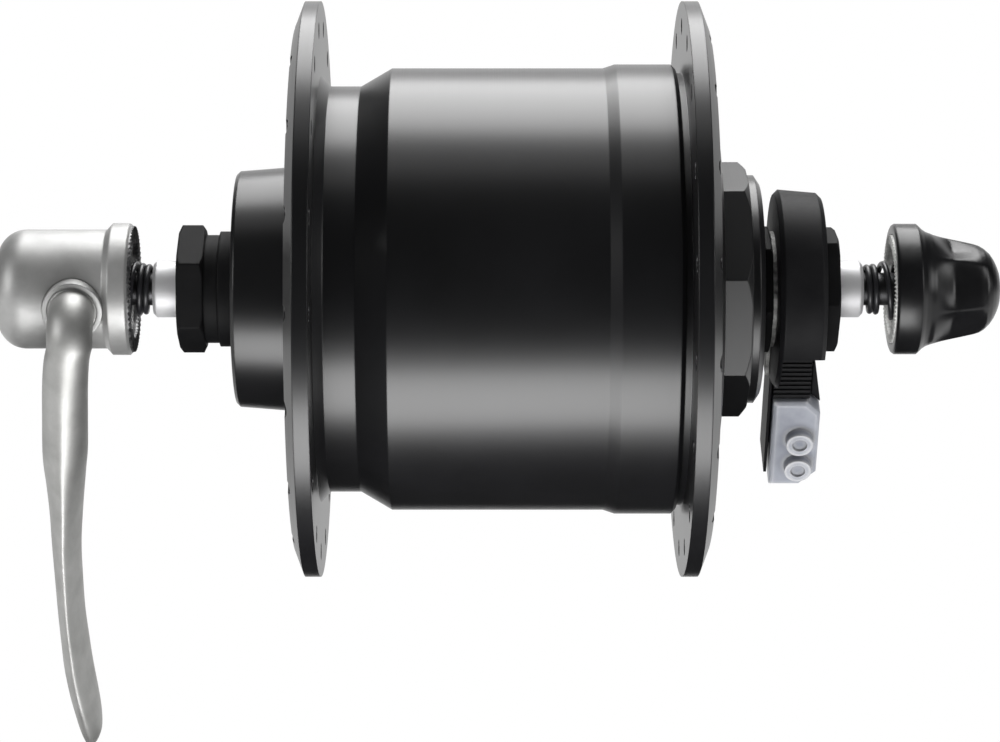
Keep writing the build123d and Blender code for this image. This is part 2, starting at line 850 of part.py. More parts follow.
# Connector housing: a crowned ring on the axle with an open cradle below it
connector_r = connector_d / 2
connector_small_r = connector_small_d / 2
contact_half_w = contact_w / 2
earth_x = contact_mid_x - contact_spread
contact_end = contact_start + contact_l
cradle_low_x = connector_x + cradle_inset
cradle_high_x = connector_x + connector_w
cover_low_x = connector_x + cover_inset
cover_high_x = cover_low_x + cover_w
cover_half_t = cover_t / 2
cradle_back_v = -cover_half_t - free
ear_x = cradle_high_x - ear_t / 2
plug_low_x = connector_x + plug_inset
plug_high_x = plug_low_x + plug_w
plug_half_t = plug_t / 2
with BuildPart() as connector_housing:
    turned(
        [
            (connector_x, nut_bore_r),
            (connector_x, connector_r - connector_round),
            (connector_x + connector_round, connector_r),
            (cradle_high_x - connector_round, connector_small_r),
            (cradle_high_x, connector_small_r - connector_round),
            (cradle_high_x, nut_bore_r),
        ]
    )
    connector_box(
        cradle_low_x, cradle_high_x, cradle_root, cradle_l, cradle_back_v - cradle_back_t, cradle_back_v
    )
    connector_box(
        cradle_low_x, cradle_low_x + cradle_wall, cradle_root, cradle_l, cradle_back_v, cradle_front
    )
    grip_front_v = plug_half_t + free
    grip_top_u = (connector_low_z - grip_front_v * math.sin(connector_lean)) / math.cos(connector_lean)
    grip_top = connector_down * grip_top_u + connector_out * grip_front_v
    grip_foot = connector_down * cover_start + connector_out * grip_front_v
    with BuildSketch(Plane.YZ.offset(cradle_low_x + cradle_wall)):
        with BuildLine():
            Polyline(
                (-connector_r - overrun, grip_top.Z),
                (grip_top.Y, grip_top.Z),
                (grip_foot.Y, grip_foot.Z),
                (-connector_r - overrun, grip_foot.Z),
                close=True,
            )
        make_face()
    extrude(amount=connector_w, mode=Mode.SUBTRACT)
    connector_box(
        cradle_low_x + cradle_wall,
        cradle_high_x + overrun,
        plug_start - free,
        cover_start,
        -plug_half_t - free,
        grip_front_v,
        Mode.SUBTRACT,
    )
    ear_corners = [
        (ear_x, -ear_start),
        (ear_x + ear_t, -ear_start),
        (ear_x + ear_w, -ear_start - ear_l + ear_t),
        (ear_x + ear_w, -ear_start - ear_l),
        (ear_x, -ear_start - ear_l + ear_w),
    ]
    extrude(
        outline_face(connector_plane.offset(cradle_back_v - cradle_back_t), ear_corners),
        amount=ear_front - cradle_back_v + cradle_back_t,
    )
    connector_box(
        live_x - slot_half_w,
        live_x + slot_half_w,
        0,
        contact_start,
        -slot_half_w,
        slot_half_w,
        Mode.SUBTRACT,
    )
    connector_box(
        slot_end_x - slot_half_w * 2 - lead_bend,
        slot_end_x,
        0,
        lead_slot_r + lead_bend,
        -slot_half_w,
        slot_half_w,
        Mode.SUBTRACT,
    )
    for blade_x in (earth_x, live_x):
        connector_box(
            blade_x - contact_t / 2 - seat,
            blade_x + contact_t / 2 + seat,
            contact_start,
            plug_start + overrun,
            -contact_half_w - seat,
            contact_half_w + seat,
            Mode.SUBTRACT,
        )
    connector_box(
        connector_x - overrun,
        earth_x,
        contact_start,
        contact_start + contact_t + seat,
        -contact_half_w - seat,
        contact_half_w + seat,
        Mode.SUBTRACT,
    )
connector_housing.part.label = "connector_housing"
export_step(connector_housing.part, "parts/connector_housing.step")

# Contacts: a straight live blade, and an earth blade whose foot meets the earth plate
with BuildPart() as live_contact:
    connector_box(
        live_x - contact_t / 2,
        live_x + contact_t / 2,
        contact_start,
        contact_end,
        -contact_half_w,
        contact_half_w,
    )
live_contact.part.label = "live_contact"
export_step(live_contact.part, "parts/live_contact.step")

with BuildPart() as earth_contact:
    connector_box(
        earth_x - contact_t / 2,
        earth_x + contact_t / 2,
        contact_start,
        contact_end,
        -contact_half_w,
        contact_half_w,
    )
    connector_box(
        connector_x,
        earth_x,
        contact_start,
        contact_start + contact_t,
        -contact_half_w,
        contact_half_w,
    )
earth_contact.part.label = "earth_contact"
export_step(earth_contact.part, "parts/earth_contact.step")

# Plug: a ribbed grip, a narrower core under the cover, and two slots for the blades
grip_end = plug_start + plug_grip_l
core_half_t = plug_half_t - plug_step / 2
rib_pitch = plug_grip_l / (rib_count + 1)
with BuildPart() as connector_plug:
    connector_box(plug_low_x, plug_high_x, plug_start, grip_end, -plug_half_t, plug_half_t)
    connector_box(
        plug_low_x + plug_step,
        plug_high_x - plug_step / 2,
        grip_end,
        plug_start + plug_l,
        -core_half_t,
        core_half_t,
    )
    for number in range(rib_count):
        groove_u = plug_start + rib_pitch * (number + 1)
        connector_box(
            plug_low_x - overrun,
            plug_high_x + overrun,
            groove_u - rib_pitch / 4,
            groove_u + rib_pitch / 4,
            plug_half_t - rib_depth,
            plug_half_t + overrun,
            Mode.SUBTRACT,
        )
    for blade_x in (earth_x, live_x):
        connector_box(
            blade_x - contact_t / 2 - contact_play,
            blade_x + contact_t / 2 + contact_play,
            plug_start - overrun,
            contact_end + free,
            -contact_half_w - contact_play,
            contact_half_w + contact_play,
            Mode.SUBTRACT,
        )
connector_plug.part.label = "connector_plug"
export_step(connector_plug.part, "parts/connector_plug.step")

# Cover over the plug: a hollow box with cut corners and two hollow bosses on its face
cover_end = cover_start + cover_l
boss_x = cover_low_x + cover_boss_inset
with BuildPart() as connector_cover:
    cover_corners = [
        (cover_low_x, -cover_start),
        (cover_high_x - cover_top_cut, -cover_start),
        (cover_high_x, -cover_start - cover_top_cut),
        (cover_high_x, -cover_end + cover_low_cut),
        (cover_high_x - cover_low_cut, -cover_end),
        (cover_low_x, -cover_end),
    ]
    extrude(outline_face(connector_plane.offset(-cover_half_t), cover_corners), amount=cover_t)
    chamfer(connector_cover.faces().sort_by(Axis((0, 0, 0), connector_out))[-1].edges(), cover_round)
    with BuildSketch(connector_plane.offset(cover_half_t)):
        with Locations(
            (boss_x, -cover_start - cover_boss_first),
            (boss_x, -cover_start - cover_boss_first - cover_boss_pitch),
        ):
            Circle(cover_boss_d / 2)
    extrude(amount=cover_boss_h)
    with BuildSketch(connector_plane.offset(cover_half_t + cover_boss_h)):
        with Locations(
            (boss_x, -cover_start - cover_boss_first),
            (boss_x, -cover_start - cover_boss_first - cover_boss_pitch),
        ):
            Circle(cover_boss_hole_d / 2)
    extrude(amount=-cover_boss_hole_l, mode=Mode.SUBTRACT)
    connector_box(
        plug_low_x + plug_step - contact_play,
        plug_high_x - plug_step / 2 + contact_play,
        cover_start - overrun,
        plug_start + plug_l + contact_play,
        -core_half_t - contact_play,
        core_half_t + contact_play,
        Mode.SUBTRACT,
    )
connector_cover.part.label = "connector_cover"
export_step(connector_cover.part, "parts/connector_cover.step")

# Skewer rod: a round bar with an oblong eye that the lever's cam pulls on
cam_r = cam_d / 2
eye_hole_w = cam_d + 2 * eye_play
eye_hole_h = cam_d + 2 * cam_throw + 2 * contact_play
with BuildPart() as skewer_rod:
    with BuildSketch(Plane.YZ.offset(-pivot_out + cam_r)):
        Circle(skewer_d / 2)
    extrude(amount=rod_end + pivot_out - cam_r)
    with BuildSketch(lever_plane.offset(-eye_t / 2)):
        with Locations((-cam_throw, 0)):
            SlotOverall(eye_hole_h + 2 * eye_wall, eye_hole_w + 2 * eye_wall, rotation=90)
    extrude(amount=eye_t)
    with BuildSketch(lever_plane.offset(-eye_t / 2 - overrun)):
        with Locations((-cam_throw, 0)):
            SlotOverall(eye_hole_h, eye_hole_w, rotation=90)
    extrude(amount=eye_t + 2 * overrun, mode=Mode.SUBTRACT)
skewer_rod.part.label = "skewer_rod"
export_step(skewer_rod.part, "parts/skewer_rod.step")

# Quick-release housing: a capped cylinder with a toothed collar and a cavity for the eye
housing_r = housing_d / 2
eye_half_w = eye_hole_w / 2 + eye_wall
eye_half_h = eye_hole_h / 2 + eye_wall
eye_half_t = eye_t / 2
cavity_end_x = -pivot_out - cam_throw - eye_half_w - free
pocket_x = -collar_face - pocket_l
with BuildPart() as qr_housing:
    with BuildSketch(Plane.XY):
        with BuildLine():
            Line((-housing_end, 0), (-housing_end, housing_r - housing_round))
            RadiusArc(
                (-housing_end, housing_r - housing_round),
                (-housing_end + housing_round, housing_r),
                housing_round,
            )
            Polyline(
                (-housing_end + housing_round, housing_r),
                (-collar_face - collar_l - collar_ramp, housing_r),
                (-collar_face - collar_l, collar_d / 2),
                (-collar_face - collar_bevel, collar_d / 2),
                (-collar_face, collar_d / 2 - collar_bevel),
                (-collar_face, 0),
                (-housing_end, 0),
            )
        make_face()
    revolve(axis=Axis.X)
    ring(pocket_x, -collar_face + overrun, 0, pocket_d / 2, Mode.SUBTRACT)
    ring(
        -collar_face - tooth_ring_t + tooth_ring_out,
        -collar_face + overrun,
        0,
        tooth_ring_d / 2 + seat,
        Mode.SUBTRACT,
    )
    with BuildSketch(lever_plane.offset(-eye_half_t - free)):
        cavity_l = pocket_x + overrun - cavity_end_x
        with Locations((cavity_end_x + cavity_l / 2 + pivot_out, 0)):
            Rectangle(cavity_l, 2 * eye_half_h + 2 * free)
    extrude(amount=eye_t + 2 * free, mode=Mode.SUBTRACT)
    with BuildSketch(lever_plane):
        Circle(bush_d / 2 + seat)
    extrude(amount=housing_d, mode=Mode.SUBTRACT)
    with BuildSketch(lever_plane):
        Circle(tail_d / 2 + running)
    extrude(amount=-eye_half_t - tail_l - free, mode=Mode.SUBTRACT)
qr_housing.part.label = "qr_housing"
export_step(qr_housing.part, "parts/qr_housing.step")

# Toothed ring that bites on the fork
tooth_out_x = -collar_face + tooth_ring_out
with BuildPart() as tooth_ring:
    ring(tooth_out_x - tooth_ring_t, tooth_out_x, pocket_d / 2, tooth_ring_d / 2)
    tooth_cuts(tooth_out_x, -1, pocket_d / 2, tooth_ring_d / 2)
tooth_ring.part.label = "tooth_ring"
export_step(tooth_ring.part, "parts/tooth_ring.step")

# Bush round the lever's shaft
with BuildPart() as lever_bush:
    with BuildSketch(lever_plane.offset(bush_out - bush_l)):
        Circle(bush_d / 2)
        Circle(journal_d / 2 + running, mode=Mode.SUBTRACT)
    extrude(amount=bush_l)
lever_bush.part.label = "lever_bush"
export_step(lever_bush.part, "parts/lever_bush.step")

# Lever: an eccentric shaft, an elbow and a blade that widens and sweeps inwards.
# Each row gives shares of the handle's length, sweep, drop, width and depth.
handle_shares = (
    (0.05, -0.25, 0.02, 1.0, 0.54),
    (0.12, -0.48, 0.07, 1.0, 0.57),
    (0.267, -0.72, 0.26, 0.99, 0.67),
    (0.36, -0.86, 0.46, 0.82, 0.76),
    (0.47, -1.03, 0.66, 0.66, 0.87),
    (0.645, -0.95, 0.86, 0.605, 0.97),
    (0.76, -0.7, 0.96, 0.64, 1.0),
    (0.9, -0.1, 1.0, 0.58, 0.92),
    (0.97, 0.1, 1.0, 0.42, 0.66),
    (1.0, 0.15, 1.0, 0.2, 0.36),
)
with BuildPart() as lever:
    with BuildSketch(lever_plane.offset(-eye_half_t)):
        Circle(tail_d / 2)
    extrude(amount=-tail_l)
    with BuildSketch(lever_plane.offset(-eye_half_t)):
        with Locations((-cam_throw, 0)):
            Circle(cam_r)
    extrude(amount=eye_t)
    with BuildSketch(lever_plane.offset(eye_half_t)):
        Circle(journal_d / 2)
    extrude(amount=bush_out - eye_half_t)
    with BuildSketch(lever_plane.offset(bush_out)):
        Circle(handle_w / 2)
    extrude(amount=elbow_out - bush_out)
    with BuildLine(lever_side_plane):
        JernArc(start=(elbow_out, 0), tangent=(1, 0), radius=elbow_r, arc_size=90)
    with BuildSketch(lever_plane.offset(elbow_out)):
        Circle(handle_w / 2)
    sweep()
    handle_start = pivot_point + pivot_dir * (elbow_out + elbow_r) + handle_dir * elbow_r
    with BuildSketch(Plane(origin=handle_start, x_dir=pivot_dir, z_dir=handle_dir)):
        Circle(handle_w / 2)
    for length, sideways, inward, width, depth in handle_shares:
        centre = (
            handle_start
            + handle_dir * (handle_l * length)
            + along * (handle_sweep * sideways)
            - pivot_dir * (handle_drop * inward)
        )
        with BuildSketch(Plane(origin=centre, x_dir=pivot_dir, z_dir=handle_dir)):
            Ellipse(handle_d / 2 * depth, handle_w / 2 * width)
    loft()
lever.part.label = "lever"
export_step(lever.part, "parts/lever.step")

# Conical springs that centre the fork ends on the skewer
spring_seat = spring_rest + wire_d / 2
left_spring_x = left_end_x - spring_seat
right_spring_x = right_end_x + spring_seat
with BuildPart() as left_spring:
    coil_wire(
        left_spring_x, spring_small_d / 2, pocket_x + spring_seat, spring_large_d / 2, spring_turns
    )
left_spring.part.label = "left_spring"
export_step(left_spring.part, "parts/left_spring.step")

nut_pocket_x = nut_face + nut_pocket_l
with BuildPart() as right_spring:
    coil_wire(
        right_spring_x, spring_small_d / 2, nut_pocket_x - spring_seat, spring_large_d / 2, spring_turns
    )
right_spring.part.label = "right_spring"
export_step(right_spring.part, "parts/right_spring.step")

# Quick-release nut: a turned body with six scooped finger flutes
collar_end_x = nut_face + nut_collar_l
waist_x = collar_end_x + nut_waist_l
tail_x = waist_x + nut_tail_l
nut_end_x = tail_x + nut_dome_l
rod_bore_r = skewer_d / 2 + running
flute_r = flute_d / 2
with BuildPart() as qr_nut:
    with BuildSketch(Plane.XY):
        with BuildLine():
            Polyline(
                (nut_face, 0),
                (nut_face, nut_collar_d / 2 - collar_bevel),
                (nut_face + collar_bevel, nut_collar_d / 2),
                (collar_end_x, nut_collar_d / 2),
                (waist_x, nut_waist_d / 2),
                (tail_x, nut_tail_d / 2),
            )
            TangentArc(
                (tail_x, nut_tail_d / 2),
                (nut_end_x, nut_end_d / 2),
                tangent=(nut_tail_l, (nut_tail_d - nut_waist_d) / 2),
            )
            Polyline((nut_end_x, nut_end_d / 2), (nut_end_x, 0), (nut_face, 0))
        make_face()
    revolve(axis=Axis.X)
    ridge_drop = (nut_waist_d - nut_tail_d) / 2 / nut_tail_l
    entry_r = nut_collar_d / 2 + flute_r
    hollow_x = collar_end_x + flute_entry_l
    hollow_r = nut_waist_d / 2 - ridge_drop * (hollow_x - waist_x) - flute_depth + flute_r
    hollow_rise = (nut_tail_d / 2 - flute_end_depth + flute_r - hollow_r) / (tail_x - hollow_x)
    hollow_end_r = hollow_r + hollow_rise * (nut_end_x + overrun - hollow_x)
    for number in range(flute_count):
        turn = Rotation(360 / flute_count * number - flute_turn, 0, 0)
        with BuildSketch(turn * Plane.YZ.offset(collar_end_x)) as flute_entry:
            with Locations((0, entry_r)):
                Circle(flute_r)
        with BuildSketch(turn * Plane.YZ.offset(hollow_x)) as flute_hollow:
            with Locations((0, hollow_r)):
                Circle(flute_r)
        with BuildSketch(turn * Plane.YZ.offset(nut_end_x + overrun)) as flute_end:
            with Locations((0, hollow_end_r)):
                Circle(flute_r)
        loft([flute_entry.sketch, flute_hollow.sketch], mode=Mode.SUBTRACT)
        loft([flute_hollow.sketch, flute_end.sketch], mode=Mode.SUBTRACT)
    ring(nut_face - overrun, nut_pocket_x, 0, nut_pocket_d / 2, Mode.SUBTRACT)
    ring(nut_face - overrun, nut_face + insert_t - insert_out, 0, insert_d / 2 + seat, Mode.SUBTRACT)
    ring(nut_pocket_x, nut_pocket_x + nut_ring_t, 0, nut_ring_d / 2 + seat, Mode.SUBTRACT)
    ring(nut_pocket_x, nut_thread_end, 0, rod_bore_r, Mode.SUBTRACT)
qr_nut.part.label = "qr_nut"
export_step(qr_nut.part, "parts/qr_nut.step")

insert_x = nut_face - insert_out
with BuildPart() as nut_insert:
    ring(insert_x, insert_x + insert_t, nut_pocket_d / 2, insert_d / 2)
    tooth_cuts(insert_x, 1, nut_pocket_d / 2, insert_d / 2)
nut_insert.part.label = "nut_insert"
export_step(nut_insert.part, "parts/nut_insert.step")

with BuildPart() as nut_lock_ring:
    ring(nut_pocket_x, nut_pocket_x + nut_ring_t, rod_bore_r, nut_ring_d / 2)
nut_lock_ring.part.label = "nut_lock_ring"
export_step(nut_lock_ring.part, "parts/nut_lock_ring.step")
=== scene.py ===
# Looks of the hub dynamo: materials, finer pieces, studio and camera

import json
import math

import bmesh
import bpy
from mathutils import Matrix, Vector


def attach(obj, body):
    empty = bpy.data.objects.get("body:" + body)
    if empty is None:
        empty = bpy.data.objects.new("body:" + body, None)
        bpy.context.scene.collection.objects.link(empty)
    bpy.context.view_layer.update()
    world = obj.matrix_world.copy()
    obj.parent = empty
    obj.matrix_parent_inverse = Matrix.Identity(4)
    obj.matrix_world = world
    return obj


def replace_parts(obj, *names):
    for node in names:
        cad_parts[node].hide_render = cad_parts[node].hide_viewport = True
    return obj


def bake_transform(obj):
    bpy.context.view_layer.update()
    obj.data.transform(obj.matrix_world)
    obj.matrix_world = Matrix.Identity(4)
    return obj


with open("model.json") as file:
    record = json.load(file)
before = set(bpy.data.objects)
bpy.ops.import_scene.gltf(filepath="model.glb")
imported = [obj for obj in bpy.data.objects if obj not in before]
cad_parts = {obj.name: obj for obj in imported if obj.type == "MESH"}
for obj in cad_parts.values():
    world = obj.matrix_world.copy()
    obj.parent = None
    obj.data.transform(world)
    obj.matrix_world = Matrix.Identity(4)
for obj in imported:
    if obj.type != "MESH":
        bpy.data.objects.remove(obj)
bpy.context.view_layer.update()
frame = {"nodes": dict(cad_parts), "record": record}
nodes = frame["nodes"]
scene = bpy.context.scene

# The pieces' places and sizes are in millimetres, those of the studio and of Blender in metres
MM = 0.001
UM = 0.000001
TAU = 2 * math.pi
WHITE = (1.0, 1.0, 1.0, 1.0)


def span_x(node_name):
    """The least and the greatest X of a CAD node, in millimetres."""
    shown = nodes[node_name]
    places = [(shown.matrix_world @ Vector(corner)).x / MM for corner in shown.bound_box]
    return min(places), max(places)


# Node trees

class Graph:
    """A node tree with short calls for its nodes and links."""

    def __init__(self, tree):
        self.tree = tree

    def node(self, kind, **settings):
        made = self.tree.nodes.new(kind)
        for key, value in settings.items():
            setattr(made, key, value)
        return made

    def feed(self, socket, value):
        """Links another node's output to the socket, or sets a colour or a number there."""
        if isinstance(value, bpy.types.NodeSocket):
            self.tree.links.new(value, socket)
        elif isinstance(value, tuple):
            socket.default_value = (*value, 1.0)
        else:
            socket.default_value = value

    def math(self, operation, first, second):
        made = self.node("ShaderNodeMath", operation=operation)
        self.feed(made.inputs[0], first)
        self.feed(made.inputs[1], second)
        return made.outputs[0]

    def world_place(self):
        return self.node("ShaderNodeNewGeometry").outputs["Position"]

    def object_place(self):
        return self.node("ShaderNodeTexCoord").outputs["Object"]

    def noise(self, vector, scale, detail=3.0, rough=0.55):
        made = self.node("ShaderNodeTexNoise")
        made.inputs["Scale"].default_value = scale
        made.inputs["Detail"].default_value = detail
        made.inputs["Roughness"].default_value = rough
        self.feed(made.inputs["Vector"], vector)
        return made.outputs["Fac"]

    def mottled(self, factor, dark, light, dark_end=0.3, light_start=0.7):
        """Two colours that run into each other as the factor rises."""
        made = self.node("ShaderNodeValToRGB")
        stops = ((dark_end, dark), (light_start, light))
        for element, (at, colour) in zip(made.color_ramp.elements, stops):
            element.position = at
            element.color = (*colour, 1.0)
        self.feed(made.inputs["Fac"], factor)
        return made.outputs["Color"]

    def spread(self, factor, low, high, start=0.0, end=1.0, smooth=False):
        """Maps the stretch from start to end onto the stretch from low to high."""
        made = self.node("ShaderNodeMapRange")
        if smooth:
            made.interpolation_type = "SMOOTHSTEP"
        made.inputs["From Min"].default_value = start
        made.inputs["From Max"].default_value = end
        made.inputs["To Min"].default_value = low
        made.inputs["To Max"].default_value = high
        self.feed(made.inputs["Value"], factor)
        return made.outputs["Result"]

    def mix(self, share, first, second):
        made = self.node("ShaderNodeMix", data_type="RGBA")
        factor, colour_a, colour_b = made.inputs[0], made.inputs[6], made.inputs[7]
        self.feed(factor, share)
        self.feed(colour_a, first)
        self.feed(colour_b, second)
        return made.outputs[2]

    def rounded_edges(self, radius, samples=6):
        made = self.node("ShaderNodeBevel", samples=samples)
        made.inputs["Radius"].default_value = radius
        return made.outputs["Normal"]

    def bump(self, height, distance, normal=None):
        made = self.node("ShaderNodeBump")
        made.inputs["Strength"].default_value = 1.0
        made.inputs["Distance"].default_value = distance
        self.feed(made.inputs["Height"], height)
        if normal is not None:
            self.feed(made.inputs["Normal"], normal)
        return made.outputs["Normal"]

    def rim_share(self, radius, gain):
        """How near a point is to an edge, from 0 on a flat face to 1."""
        turned = self.node("ShaderNodeVectorMath", operation="DOT_PRODUCT")
        self.feed(turned.inputs[0], self.rounded_edges(radius))
        self.feed(turned.inputs[1], self.node("ShaderNodeNewGeometry").outputs["Normal"])
        away = self.math("SUBTRACT", 1.0, turned.outputs["Value"])
        return self.math("MINIMUM", self.math("MULTIPLY", away, gain), 1.0)

    def openness(self, reach, samples=8):
        """One in the open, and less where other faces stand within reach."""
        made = self.node("ShaderNodeAmbientOcclusion", samples=samples)
        made.inputs["Distance"].default_value = reach
        return made.outputs["AO"]

    def turned_lines(self, per_metre, along_line=2.0, detail=4.0, rough=0.7):
        """Fine lines round the X axis, as a lathe leaves them."""
        stretched = self.node("ShaderNodeMapping")
        stretched.inputs["Scale"].default_value = (per_metre, along_line, along_line)
        self.feed(stretched.inputs["Vector"], self.object_place())
        return self.noise(stretched.outputs["Vector"], scale=1.0, detail=detail, rough=rough)

    def shown_rays(self):
        """One where a ray comes from the camera, a polished surface or a clear one."""
        paths = self.node("ShaderNodeLightPath")
        total = paths.outputs["Is Camera Ray"]
        for kind in ("Is Glossy Ray", "Is Transmission Ray"):
            total = self.math("MAXIMUM", total, paths.outputs[kind])
        return total


# Materials, kept under the names of the record's slots

materials = {}
mottle_detail = 4.0


def new_material(name):
    """The material, its graph and its shader node."""
    material = bpy.data.materials.new(name)
    material.use_nodes = True
    graph = Graph(material.node_tree)
    return material, graph, graph.tree.nodes["Principled BSDF"]


def finish(name, dark, light, rough, metallic=0.0, specular=0.5, mottle=140.0, lines=0.0,
           line_depth=0.0, grain=900.0, grain_depth=0.0, edge=0.2 * MM):
    """A surface whose colour, roughness and relief all vary as the real finish does.

    The mottle, the turned lines and the grain are counts for each metre.
    """
    material, graph, shader = new_material(name)
    patches = graph.noise(graph.object_place(), mottle, mottle_detail)
    graph.feed(shader.inputs["Base Color"], graph.mottled(patches, dark, light))
    fine = graph.noise(graph.object_place(), grain)
    streak = graph.turned_lines(lines) if lines else fine
    graph.feed(shader.inputs["Roughness"], graph.spread(streak, *rough))
    normal = graph.rounded_edges(edge) if edge else None
    if line_depth:
        normal = graph.bump(streak, line_depth, normal)
    if grain_depth:
        normal = graph.bump(fine, grain_depth, normal)
    if normal is not None:
        graph.feed(shader.inputs["Normal"], normal)
    shader.inputs["Metallic"].default_value = metallic
    shader.inputs["Specular IOR Level"].default_value = specular
    materials[name] = material


def translucent_moulding(name, dark, light, painted_rim_highlight, painted_corner_shade, rough, mottle, grain, grain_depth, edge,
                         rim_width, rim_gain, painted_shade_reach):
    """Pale plastic with a painted highlight on its rims and painted shade in its inner corners."""
    material, graph, shader = new_material(name)
    patches = graph.noise(graph.object_place(), mottle, mottle_detail)
    plain = graph.mottled(patches, dark, light)
    # Painted highlight: near the rounded edges the colour turns pale, as if the rims caught the light
    with_painted_rim_highlight = graph.mix(graph.rim_share(rim_width, rim_gain), plain, painted_rim_highlight)
    # Painted shade: the colour darkens where other faces stand within reach, in inner corners and
    # round the bosses
    graph.feed(shader.inputs["Base Color"], graph.mix(graph.openness(painted_shade_reach), painted_corner_shade, with_painted_rim_highlight))
    fine = graph.noise(graph.object_place(), grain)
    graph.feed(shader.inputs["Roughness"], graph.spread(fine, *rough))
    relief = graph.bump(fine, grain_depth, graph.rounded_edges(edge))
    graph.feed(shader.inputs["Normal"], relief)
    materials[name] = material


finish("shell_black", dark=(0.004, 0.004, 0.0045), light=(0.007, 0.007, 0.008),
       rough=(0.25, 0.37), specular=0.6, mottle=60.0, lines=5500.0, line_depth=2.4 * UM,
       edge=0.3 * MM)
finish("nut_black", dark=(0.004, 0.004, 0.0045), light=(0.008, 0.008, 0.0085),
       rough=(0.5, 0.65), specular=0.1, lines=6000.0, line_depth=3.0 * UM, grain_depth=2.0 * UM,
       edge=0.5 * MM)
finish("axle_silver", dark=(0.6, 0.6, 0.61), light=(0.72, 0.72, 0.73), rough=(0.46, 0.58),
       metallic=0.45, lines=12000.0, line_depth=1.5 * UM, edge=0.4 * MM)
finish("cone_steel", dark=(0.38, 0.39, 0.41), light=(0.5, 0.51, 0.53), rough=(0.24, 0.4),
       metallic=1.0, lines=12000.0, line_depth=2.0 * UM, edge=0.15 * MM)
finish("plate_grey", dark=(0.04, 0.04, 0.04), light=(0.3, 0.3, 0.29), rough=(0.4, 0.65),
       metallic=0.7, mottle=900.0, grain=1800.0, grain_depth=30.0 * UM, edge=0.1 * MM)
finish("ball_steel", dark=(0.74, 0.75, 0.77), light=(0.84, 0.85, 0.87), rough=(0.06, 0.14),
       metallic=1.0, edge=0.0)
finish("cage_polymer", dark=(0.62, 0.58, 0.46), light=(0.74, 0.7, 0.58), rough=(0.4, 0.55),
       grain_depth=4.0 * UM)
finish("rubber_black", dark=(0.016, 0.016, 0.016), light=(0.028, 0.028, 0.028),
       rough=(0.6, 0.8), grain_depth=10.0 * UM)
finish("iron_grey", dark=(0.2, 0.2, 0.21), light=(0.32, 0.32, 0.33), rough=(0.38, 0.6),
       metallic=1.0, grain_depth=6.0 * UM)
finish("magnet_dark", dark=(0.05, 0.05, 0.055), light=(0.09, 0.09, 0.1), rough=(0.5, 0.7),
       grain_depth=8.0 * UM)
finish("bobbin_polymer", dark=(0.72, 0.7, 0.62), light=(0.84, 0.82, 0.76), rough=(0.4, 0.55),
       grain_depth=4.0 * UM)
finish("copper_wire", dark=(0.55, 0.2, 0.07), light=(0.78, 0.34, 0.14), rough=(0.2, 0.36),
       metallic=1.0, lines=1600.0, line_depth=80.0 * UM)
finish("contact_brass", dark=(0.66, 0.56, 0.3), light=(0.8, 0.72, 0.46), rough=(0.22, 0.36),
       metallic=1.0, grain_depth=2.0 * UM)
finish("housing_black", dark=(0.006, 0.006, 0.007), light=(0.011, 0.011, 0.012),
       rough=(0.42, 0.56), specular=0.12, grain=1600.0, grain_depth=4.0 * UM, edge=0.35 * MM)
finish("plug_black", dark=(0.008, 0.008, 0.009), light=(0.014, 0.014, 0.015),
       rough=(0.36, 0.5), specular=0.15, grain_depth=4.0 * UM)
finish("lever_silver", dark=(0.36, 0.36, 0.35), light=(0.47, 0.47, 0.46), rough=(0.46, 0.58),
       metallic=0.8, mottle=220.0, grain=2600.0, grain_depth=5.0 * UM, edge=0.4 * MM)
finish("qr_silver", dark=(0.36, 0.36, 0.355), light=(0.46, 0.46, 0.455), rough=(0.42, 0.53),
       metallic=0.65, mottle=220.0, grain=2600.0, grain_depth=5.0 * UM, edge=0.4 * MM)
finish("tooth_steel", dark=(0.05, 0.05, 0.052), light=(0.3, 0.3, 0.3), rough=(0.3, 0.55),
       metallic=0.9, mottle=900.0, grain=1500.0, grain_depth=30.0 * UM)
finish("rod_steel", dark=(0.05, 0.05, 0.052), light=(0.09, 0.09, 0.094), rough=(0.3, 0.44),
       metallic=0.9, lines=8000.0, line_depth=1.5 * UM)
finish("spring_black", dark=(0.012, 0.012, 0.014), light=(0.03, 0.03, 0.034),
       rough=(0.26, 0.4), grain_depth=4.0 * UM, edge=0.0)
finish("qr_nut_black", dark=(0.005, 0.005, 0.0055), light=(0.008, 0.008, 0.009),
       rough=(0.26, 0.36), specular=0.42, grain_depth=2.0 * UM, edge=0.4 * MM)
finish("insert_pale", dark=(0.5, 0.5, 0.49), light=(0.78, 0.78, 0.76), rough=(0.4, 0.6),
       metallic=0.3, mottle=1500.0, grain_depth=8.0 * UM, edge=0.0)
finish("ring_nylon", dark=(0.7, 0.72, 0.74), light=(0.82, 0.84, 0.86), rough=(0.35, 0.5),
       grain_depth=3.0 * UM)
# The cover's paler rims are a painted highlight, and its darkened inner corners are painted shade
translucent_moulding(
    "cover_grey", dark=(0.25, 0.265, 0.31), light=(0.34, 0.355, 0.4), painted_rim_highlight=(0.66, 0.66, 0.67),
    painted_corner_shade=(0.04, 0.045, 0.065), rough=(0.24, 0.4), mottle=260.0, grain=900.0,
    grain_depth=3.0 * UM, edge=0.4 * MM, rim_width=1.5 * MM, rim_gain=6.0, painted_shade_reach=1.6 * MM)

for entry in frame["record"]["subparts"]:
    for slot in nodes[entry["node"]].material_slots:
        slot.material = materials[entry["material_slot"]]


# Mesh helpers

